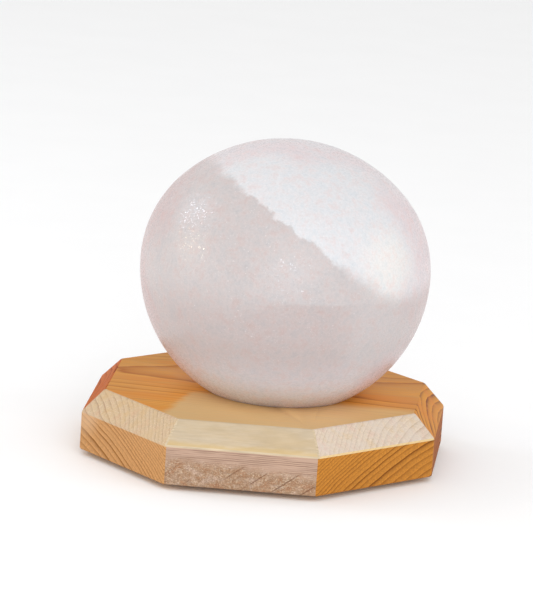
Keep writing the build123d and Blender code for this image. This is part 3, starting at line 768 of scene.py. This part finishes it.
def moulded(name, colour, roughness):
    """Plastic or rubber with a fine moulded grain and faint clouds."""
    shader = Shader(name)
    texture = shader.noise(shader.place(), 4.0, 3.0, 0.6)
    clouds = shader.noise(shader.place(), 0.15, 3.0, 0.6)
    pale = [min(255, 1.12 * c) for c in colour]
    tint = shader.mix(shader.range(clouds, 0.4, 0.7), colour, pale)
    gloss = shader.range(clouds, 0.3, 0.7, roughness - 0.05, roughness + 0.08)
    return shader.finish(base_color=tint, roughness=gloss, normal=shader.bump(texture, 0.04, 0.4))


def glass(name, colour, roughness, through, grain):
    """Glass, clear or etched, that lets some of the light through."""
    shader = Shader(name)
    etch = shader.noise(shader.place(), 3.0, 4.0, 0.7)
    haze = shader.noise(shader.place(), 0.12, 3.0, 0.5)
    tint = shader.mix(shader.range(haze, 0.3, 0.7, 0.0, 0.3), colour, (246, 248, 250))
    gloss = shader.range(etch, 0.3, 0.7, roughness, roughness + grain)
    return shader.finish(
        base_color=tint,
        roughness=gloss,
        ior=1.5,
        transmission_weight=through,
        normal=shader.bump(etch, 0.05 * grain, 0.5),
    )


# The finishes of the pieces inside: colour and roughness, and for glass how much light comes through, and
# how much its roughness varies
METALS = {
    "zinc_steel": ((196, 198, 200), 0.32),
    "spring_steel": ((168, 172, 176), 0.28),
    "brass": ((212, 172, 96), 0.3),
    "cap_metal": ((206, 206, 202), 0.3),
    "solder": ((180, 182, 184), 0.38),
    "nickel_wire": ((176, 174, 168), 0.3),
    "tungsten": ((120, 120, 124), 0.4),
}
MOULDINGS = {
    "rubber": ((44, 44, 46), 0.7),
    "black_thermoset": ((30, 30, 32), 0.38),
    "core_plastic": ((226, 222, 210), 0.45),
    "nylon": ((226, 226, 220), 0.4),
    "black_glass": ((20, 18, 24), 0.15),
}
GLASSES = {
    "frosted_glass": ((236, 236, 232), 0.42, 0.55, 0.15),
    "clear_glass": ((232, 240, 238), 0.04, 1.0, 0.04),
}


def inner_finishes():
    """A material for each finish, by its name."""
    kinds = ((metal, METALS), (moulded, MOULDINGS), (glass, GLASSES))
    return {name: make(name, *look) for make, looks in kinds for name, look in looks.items()}


# Nodes whose solids stay as they are, by finish
KEPT_NODES = {
    "nylon": ("screw_plugs",),
    "black_thermoset": ("holder_cap", "holder_skirt"),
    "core_plastic": ("holder_core",),
    "brass": ("centre_contact", "terminal_blocks"),
    "zinc_steel": ("terminal_screws",),
    "spring_steel": ("clip_plate", "clip_arm_right", "clip_arm_left"),
    "black_glass": ("bulb_insulator",),
    "solder": ("bulb_contact",),
}


def dress_nodes():
    """A material for each node that keeps its solid."""
    for slot, names in KEPT_NODES.items():
        for name in names:
            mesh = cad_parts[name].data
            mesh.materials.clear()
            mesh.materials.append(finishes[slot])


def mesh_piece(name, node, body, slot, points, faces):
    """A piece in place of a node, from points in metres, welded, with crisp corners and smooth rounds."""
    piece = mesh_object(name, points, faces, body, finishes[slot])
    mesh = bmesh.new()
    mesh.from_mesh(piece.data)
    bmesh.ops.remove_doubles(mesh, verts=mesh.verts, dist=WELD)
    bmesh.ops.dissolve_degenerate(mesh, dist=0.001 * MM, edges=mesh.edges)
    loose = [edge for edge in mesh.edges if not edge.link_faces]
    bmesh.ops.delete(mesh, geom=loose, context="EDGES")
    bmesh.ops.recalc_face_normals(mesh, faces=mesh.faces)
    mesh.to_mesh(piece.data)
    mesh.free()
    piece.data.set_sharp_from_angle(angle=CRISP_ANGLE)
    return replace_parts(piece, node)


def turned(name, node, body, slot, outline, reach=None, centre=lamp_axis, around=96):
    """A piece turned round an upright axis, from a closed outline of (radius, height) in millimetres.
    Reach, if given, changes a point's radius, going by its radius, its height and its azimuth."""
    points = []
    for radius, z in outline:
        for step in range(around):
            azimuth = 2 * pi * step / around
            out = reach(radius, z, azimuth) if reach else radius
            points.append(centre + upright(azimuth, out, z) * MM)
    faces = []
    for row in range(len(outline)):
        faces += band(row * around, (row + 1) % len(outline) * around, around)
    return mesh_piece(name, node, body, slot, points, faces)


def run(start, end, step):
    """Points along a straight stretch of an outline, from its start up to but not at its end."""
    count = max(1, round(hypot(end[0] - start[0], end[1] - start[1]) / step))
    return [tuple(a + (b - a) * i / count for a, b in zip(start, end)) for i in range(count)]


def rounding(middle, radius, first, last, steps=6):
    """Points along a quarter turn or other arc of an outline, angles in degrees."""
    turns = [radians(first + (last - first) * i / steps) for i in range(steps + 1)]
    return [(middle[0] + radius * cos(turn), middle[1] + radius * sin(turn)) for turn in turns]


def thread(z, azimuth, pitch, start, end, fade=1.0):
    """A right-handed thread's wave, from 0 to 1, and how full it is, as it dies out towards both ends."""
    wave = 0.5 + 0.5 * cos(2 * pi * z / pitch - azimuth)
    ends = min(1.0, max(0.0, (z - start) / fade)) * min(1.0, max(0.0, (end - z) / fade))
    return wave, ends


def lamp_cap():
    """The bulb's rolled screw cap, one thickness of metal from end to end."""
    low = bulb_z + CAP_START
    high = bulb_z + CAP_THREAD_END
    flare = bulb_z + CAP_END
    middle = CAP_CREST - CAP_THREAD_DEPTH / 2

    def reach(radius, z, azimuth):
        wave, ends = thread(z, azimuth, CAP_PITCH, low + 0.6, high - 0.8)
        return radius + (wave - 0.5) * ends * CAP_THREAD_DEPTH if z < high else radius

    rim = CAP_CREST + FLARE_WIDTH
    outer = run((middle, low + 0.5), (middle, high), 0.2) + run((middle, high), (rim, flare - 0.5), 0.6)
    outer += [(rim, flare - 0.5), (rim, flare)]
    inner = [(radius - CAP_WALL, z) for radius, z in outer[::-1]]
    foot = [(middle - 1.1, low), (middle - 0.3, low)]
    turned("screw_cap", "bulb_cap", "bulb", "cap_metal", outer + inner + foot, reach, around=120)


def socket_shell():
    """The holder's threaded shell, with its tab down through the core."""
    low = core_z + CORE_FLOOR
    high = low + SHELL_HEIGHT
    wall = SHELL_WALL - SHELL_THREAD_DEPTH
    middle = SHELL_RADIUS + SHELL_THREAD_DEPTH / 2

    def reach(radius, z, azimuth):
        wave, ends = thread(z, azimuth, CAP_PITCH, low + 1.0, high - 0.4)
        return radius + (wave - 0.5) * ends * SHELL_THREAD_DEPTH

    inner = run((middle, low), (middle, high), 0.2) + [(middle, high)]
    outer = [(radius + wall, z) for radius, z in inner[::-1]]
    turned("socket_shell", "holder_shell", "lamp_holder", "brass", inner + outer, reach, around=120)
    half = TAB_WIDTH / 2
    corners = [(-half, core_z), (half, core_z), (half, low + 0.6), (-half, low + 0.6)]
    points = []
    for x in (SHELL_RADIUS + 0.05, SHELL_RADIUS + SHELL_WALL - 0.05):
        points += [lamp_axis + Vector((x, y, z)) * MM for y, z in corners]
    faces = [(3, 2, 1, 0), (4, 5, 6, 7), (0, 1, 5, 4), (1, 2, 6, 5), (2, 3, 7, 6), (3, 0, 4, 7)]
    mesh_piece("shell_tab", "holder_shell", "lamp_holder", "brass", points, faces)


def nipple_and_nut():
    """The threaded tube, and the hexagon nut with its corners turned off."""
    low = nipple_z
    high = low + NIPPLE_LENGTH

    def threaded(radius, z, azimuth):
        if radius < NIPPLE_BORE + 0.4:
            return radius
        wave, ends = thread(z, azimuth, NIPPLE_PITCH, low, high, 0.8)
        return radius - (1 - wave * ends) * NIPPLE_THREAD_DEPTH

    outline = [(NIPPLE_BORE, high), (NIPPLE_BORE, low + 0.2), (NIPPLE_BORE + 0.2, low)]
    outline += run((NIPPLE_RADIUS, low), (NIPPLE_RADIUS, high), 0.12) + [(NIPPLE_RADIUS, high)]
    turned("lead_nipple", "threaded_nipple", "lamp_holder", "zinc_steel", outline, threaded, around=72)

    def hexagonal(radius, z, azimuth):
        if radius <= NIPPLE_RADIUS + 0.5:
            return radius
        off = azimuth % (pi / 3) - pi / 6
        bevel = min(z - nut_z, nut_z + NUT_HEIGHT - z)
        return min(NUT_FLATS / 2 / cos(off), NUT_FLATS / 2 + 0.1 + 1.4 * max(0.0, bevel))

    flats = NUT_FLATS / 2
    top = nut_z + NUT_HEIGHT
    outline = [(NIPPLE_RADIUS, top), (NIPPLE_RADIUS, nut_z + 0.4), (NIPPLE_RADIUS + 0.4, nut_z)]
    outline += run((flats, nut_z), (flats, top), 0.1) + [(flats, top)]
    turned("hexagon_nut", "lock_nut", "lamp_holder", "zinc_steel", outline, hexagonal, around=180)


def wood_screws():
    """Three countersunk wood screws with a rolled thread, a point, and a cross recess in the head."""
    head = screw_head_z
    tip = head + SCREW_LENGTH
    neck = head + SCREW_HEAD_RADIUS - SCREW_RADIUS

    def reach(radius, z, azimuth):
        if z < neck + SCREW_SHANK:
            return radius
        wave, ends = thread(z, azimuth, SCREW_PITCH, neck + SCREW_SHANK, tip - 0.6)
        return radius * (1 - SCREW_THREAD_SHARE * (1 - wave**3 * ends))

    outline = [(0, head + 1.6), (0.5, head + 1.6), (0.9, head + 0.8), (1.0, head)]
    outline += [(SCREW_HEAD_RADIUS - 0.1, head), (SCREW_HEAD_RADIUS, head + 0.15)]
    outline += run((SCREW_HEAD_RADIUS, head + 0.15), (SCREW_RADIUS, neck), 0.5)
    outline += run((SCREW_RADIUS, neck), (SCREW_RADIUS, tip - SCREW_POINT), 0.15)
    outline += run((SCREW_RADIUS, tip - SCREW_POINT), (0, tip), 0.15) + [(0, tip)]

    def recessed(radius, z, azimuth):
        """In the head's face, the recess reaches further out along the two arms of its cross."""
        if z <= head + 1.6 and radius <= 1.0:
            near = abs((azimuth + pi / 4) % (pi / 2) - pi / 4)
            arm = min(1.0, max(0.0, (0.3 - near) / 0.1))
            return radius * (1 + 1.5 * arm)
        return reach(radius, z, azimuth)

    for number, centre in enumerate(screw_centres(), 1):
        name = f"wood_screw_{number}"
        turned(name, "base_screws", "lamp", "zinc_steel", outline, recessed, centre, around=72)


def rubber_feet():
    """Four moulded bumpers with rounded edges and a shallow dish underneath."""
    high = board_low.z / MM
    low_radius = FOOT_RADIUS - FOOT_TAPER
    outline = [(0, 0.3), (2.0, 0.3), (2.6, 0.06), (3.0, 0)]
    outline += rounding((low_radius - 0.7, 0.7), 0.7, -90, -10)
    outline += rounding((FOOT_RADIUS - 0.4, high - 0.4), 0.4, 0, 90, 4) + [(0, high)]
    for node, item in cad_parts.items():
        if node.startswith("foot_"):
            low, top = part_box(node)
            centre = Vector(((low.x + top.x) / 2, (low.y + top.y) / 2, 0))
            name = node.replace("foot", "rubber_foot")
            turned(name, node, "lamp", "rubber", outline, centre=centre)


def envelope_radius(z):
    """The outside of the bulb's glass at a height above its contact: neck, flowing shoulder and side."""
    share = min(1.0, max(0.0, (z - SHOULDER_START) / (SHOULDER_END - SHOULDER_START)))
    return GLASS_NECK + (GLASS_RADIUS - GLASS_NECK) * share * share * (3 - 2 * share)


def glassware():
    """The bulb's envelope and the stem that seals it, pinched flat round the wires."""
    dome_z = GLASS_LENGTH - GLASS_RADIUS
    outer = []
    inner = []
    for number in range(round((dome_z - GLASS_START) / GLASS_STEP)):
        z = GLASS_START + GLASS_STEP * number
        outer.append((envelope_radius(z), bulb_z + z))
        inner.append((envelope_radius(z) - GLASS_WALL, bulb_z + z))
    outer += rounding((0, bulb_z + dome_z), GLASS_RADIUS, 0, 90, 24)
    inner += rounding((0, bulb_z + dome_z), GLASS_RADIUS - GLASS_WALL, 0, 90, 24)
    turned("glass_envelope", "bulb_glass", "bulb", "frosted_glass", outer + inner[::-1], around=96)

    def pinched(radius, z, azimuth):
        share = min(1.0, max(0.0, (z - bulb_z - STEM_PINCH_START) / 4))
        flat = 1 / hypot(cos(azimuth) / 1.05, sin(azimuth) / 0.62)
        return radius * (1 + (flat - 1) * share)

    seal = GLASS_NECK - GLASS_WALL
    low = bulb_z + GLASS_START
    outline = [(0, low), (seal, low), (seal, low + 0.7), (seal - 1.0, low + 1.1), (3.4, low + 2.0)]
    top = bulb_z + STEM_TOP
    outline += [(2.7, low + 3.2)] + run((STEM_RADIUS, low + 4.5), (STEM_RADIUS, top - 0.5), 0.7)
    outline += rounding((STEM_RADIUS - 0.5, top - 0.5), 0.5, 0, 90, 4) + [(0, top)]
    turned("glass_stem", "bulb_stem", "bulb", "clear_glass", outline, pinched)


def smooth_path(corners, rounds=3):
    """Corners cut off again and again until a line through points is smooth. Its ends stay."""
    path = [Vector(corner) for corner in corners]
    for _ in range(rounds):
        cut = [path[0]]
        for a, b in zip(path, path[1:]):
            cut += [a.lerp(b, 0.25), a.lerp(b, 0.75)]
        path = cut + [path[-1]]
    return path


def tube(path, radius, sides):
    """Points and faces of a round wire along a path. All in millimetres above the bulb's contact."""
    base = lamp_axis + Vector((0, 0, bulb_z)) * MM
    across = Vector((0, 1, 0))
    points = []
    for number, place in enumerate(path):
        along = (path[min(number + 1, len(path) - 1)] - path[max(number - 1, 0)]).normalized()
        across = (across - along * across.dot(along)).normalized()
        other = along.cross(across)
        for side in range(sides):
            turn = 2 * pi * side / sides
            points.append(base + (place + (across * cos(turn) + other * sin(turn)) * radius) * MM)
    faces = []
    for ring in range(len(path) - 1):
        faces += band(ring * sides, (ring + 1) * sides, sides)
    faces += [tuple(range(sides))[::-1], tuple(range(len(points) - sides, len(points)))]
    return points, faces


def bulb_wires():
    """Lead wires and hooked supports, smooth at their bends, and the coiled filament that they hold."""
    for side, sign in (("right", 1), ("left", -1)):
        corners = [(1.6, 0, 26), (1.6, 0, 29.5), (6, 0, 36.5), (6, 0, LEAD_TOP + 0.3)]
        wire = tube(smooth_path([(sign * x, y, z) for x, y, z in corners]), LEAD_RADIUS, 12)
        mesh_piece(f"lead_wire_{side}", "bulb_leads", "bulb", "nickel_wire", *wire)
        top = FILAMENT_TOP
        corners = [(0.6, 0, 26), (0.6, 0, 30), (2.5, 0, 40), (2.5, 0, top - 0.9), (2.5, 0.7, top - 0.2)]
        corners += [(2.5, 0.5, top + 0.6), (2.5, -0.5, top + 0.6), (2.5, -0.5, top - 0.1)]
        wire = tube(smooth_path([(sign * x, y, z) for x, y, z in corners]), SUPPORT_RADIUS, 8)
        mesh_piece(f"support_wire_{side}", "bulb_supports", "bulb", "nickel_wire", *wire)
    bend = LEAD_TOP + 1.25
    line = [(-6, 0, LEAD_TOP), (-6, 0, bend), (-2.5, 0, FILAMENT_TOP), (2.5, 0, FILAMENT_TOP), (6, 0, bend)]
    line = smooth_path(line + [(6, 0, LEAD_TOP)], 2)
    coil = []
    turned_by = 0.0
    for a, b in zip(line, line[1:]):
        steps = max(1, round((b - a).length / COIL_STEP))
        along = (b - a).normalized()
        other = along.cross(Vector((0, 1, 0)))
        for step in range(steps):
            spot = a.lerp(b, step / steps)
            coil.append(spot + (Vector((0, cos(turned_by), 0)) + other * sin(turned_by)) * COIL_RADIUS)
            turned_by += 2 * pi / COIL_STEPS_PER_TURN
    mesh_piece("coiled_filament", "bulb_filament", "bulb", "tungsten", *tube(coil, COIL_WIRE, 6))


# Camera: the photograph's angle, in the frame of the board
CAMERA_ELEVATION = radians(13.03)
CAMERA_AZIMUTH = radians(4.067)
CAMERA_ROLL = radians(4.0)
CAMERA_DISTANCE = 1.732
CAMERA_MIDDLE = Vector((-1.235 * MM, 0.636 * MM, 2.5 * MM))
SENSOR = 36.0
FOCAL_PIXELS = 3766.17
IMAGE_WIDTH = 533
LOOK_X = 3.788
LOOK_Y = -140.005

# Lights, all aimed at one height: azimuth and elevation in degrees, distance, size, power, colour
LIGHTS_AIM = Vector((0, 0, 0.08))
LIGHTS = {
    "front_softbox": (4, 9, 1.5, 1.5, 4.8, (1, 1, 1)),
    "key": (20, 38, 2.0, 2.0, 8.6, (1, 1, 1)),
    "right": (80, 20, 1.5, 0.8, 1.5, (1, 0.96, 0.92)),
    "left": (-70, 6, 1.5, 0.8, 1.6, (1, 1, 1)),
    "cool_window": (-102.6, 33.6, 1.4, 0.25, 2.0, (0.8, 0.87, 1)),
    "warm_window": (-81.8, 16.7, 1.4, 0.2, 1.5, (1, 0.82, 0.55)),
    "front": (8.5, 11.0, 1.5, 0.16, 1.7, (0.78, 0.87, 1)),
}
SKY_STRENGTH = 0.88
FLOOR_HALF = 6.0


def camera():
    """A long lens from the front, a little from the right and above, tipped over by its roll."""
    turn = Matrix.Rotation(CAMERA_AZIMUTH, 3, "Z")
    right = turn @ Vector((1, 0, 0))
    forward = turn @ Vector((0, cos(CAMERA_ELEVATION), -sin(CAMERA_ELEVATION)))
    up = turn @ Vector((0, sin(CAMERA_ELEVATION), cos(CAMERA_ELEVATION)))
    place = CAMERA_MIDDLE - forward * CAMERA_DISTANCE
    place -= (right * LOOK_X + up * LOOK_Y) * CAMERA_DISTANCE / FOCAL_PIXELS
    rolled_right = right * cos(CAMERA_ROLL) + up * sin(CAMERA_ROLL)
    rolled_up = up * cos(CAMERA_ROLL) - right * sin(CAMERA_ROLL)
    lens = bpy.data.cameras.new("camera")
    lens.sensor_fit = "HORIZONTAL"
    lens.sensor_width = SENSOR
    lens.lens = FOCAL_PIXELS / IMAGE_WIDTH * SENSOR
    lens.clip_end = 20
    item = add_object("camera", lens)
    axes = Matrix((rolled_right, rolled_up, -forward)).transposed()
    item.matrix_world = Matrix.Translation(place) @ axes.to_4x4()
    bpy.context.scene.camera = item


def area_light(name, azimuth, elevation, distance, size, power, colour):
    """A round soft light. Azimuth is in degrees from the front towards +X."""
    turn = radians(azimuth)
    lift = radians(elevation)
    way = Vector((sin(turn) * cos(lift), -cos(turn) * cos(lift), sin(lift)))
    data = bpy.data.lights.new(name, "AREA")
    data.shape = "DISK"
    data.size = size
    data.energy = power
    data.color = colour
    item = add_object(name, data)
    item.location = LIGHTS_AIM + way * distance
    item.rotation_euler = way.to_track_quat("Z", "Y").to_euler()


def floor():
    """A wide pale floor."""
    corners = [(x * FLOOR_HALF, y * FLOOR_HALF, 0) for x, y in ((-1, -1), (1, -1), (1, 1), (-1, 1))]
    mesh = bpy.data.meshes.new("floor")
    mesh.from_pydata(corners, [], [(0, 1, 2, 3)])
    item = add_object("floor", mesh)
    shader = Shader("floor")
    tone = shader.noise(shader.place(), 0.02, 2.0)
    colour = shader.ramp(tone, (0.3, 0.93), (0.7, 0.94))
    mesh.materials.append(shader.finish(base_color=colour, roughness=0.8))


def studio():
    """Even white light from all round, and the lamps whose reflections show on the ball."""
    scene = bpy.context.scene
    scene.view_settings.view_transform = "Standard"
    world = bpy.data.worlds.new("studio")
    world.use_nodes = True
    sky = world.node_tree.nodes["Background"]
    sky.inputs["Color"].default_value = (1, 1, 1, 1)
    sky.inputs["Strength"].default_value = SKY_STRENGTH
    scene.world = world
    for name, values in LIGHTS.items():
        area_light(name, *values)


finishes = inner_finishes()
wooden_board()
salt_ball()
dress_nodes()
lamp_cap()
socket_shell()
nipple_and_nut()
wood_screws()
rubber_feet()
glassware()
bulb_wires()
floor()
studio()
camera()
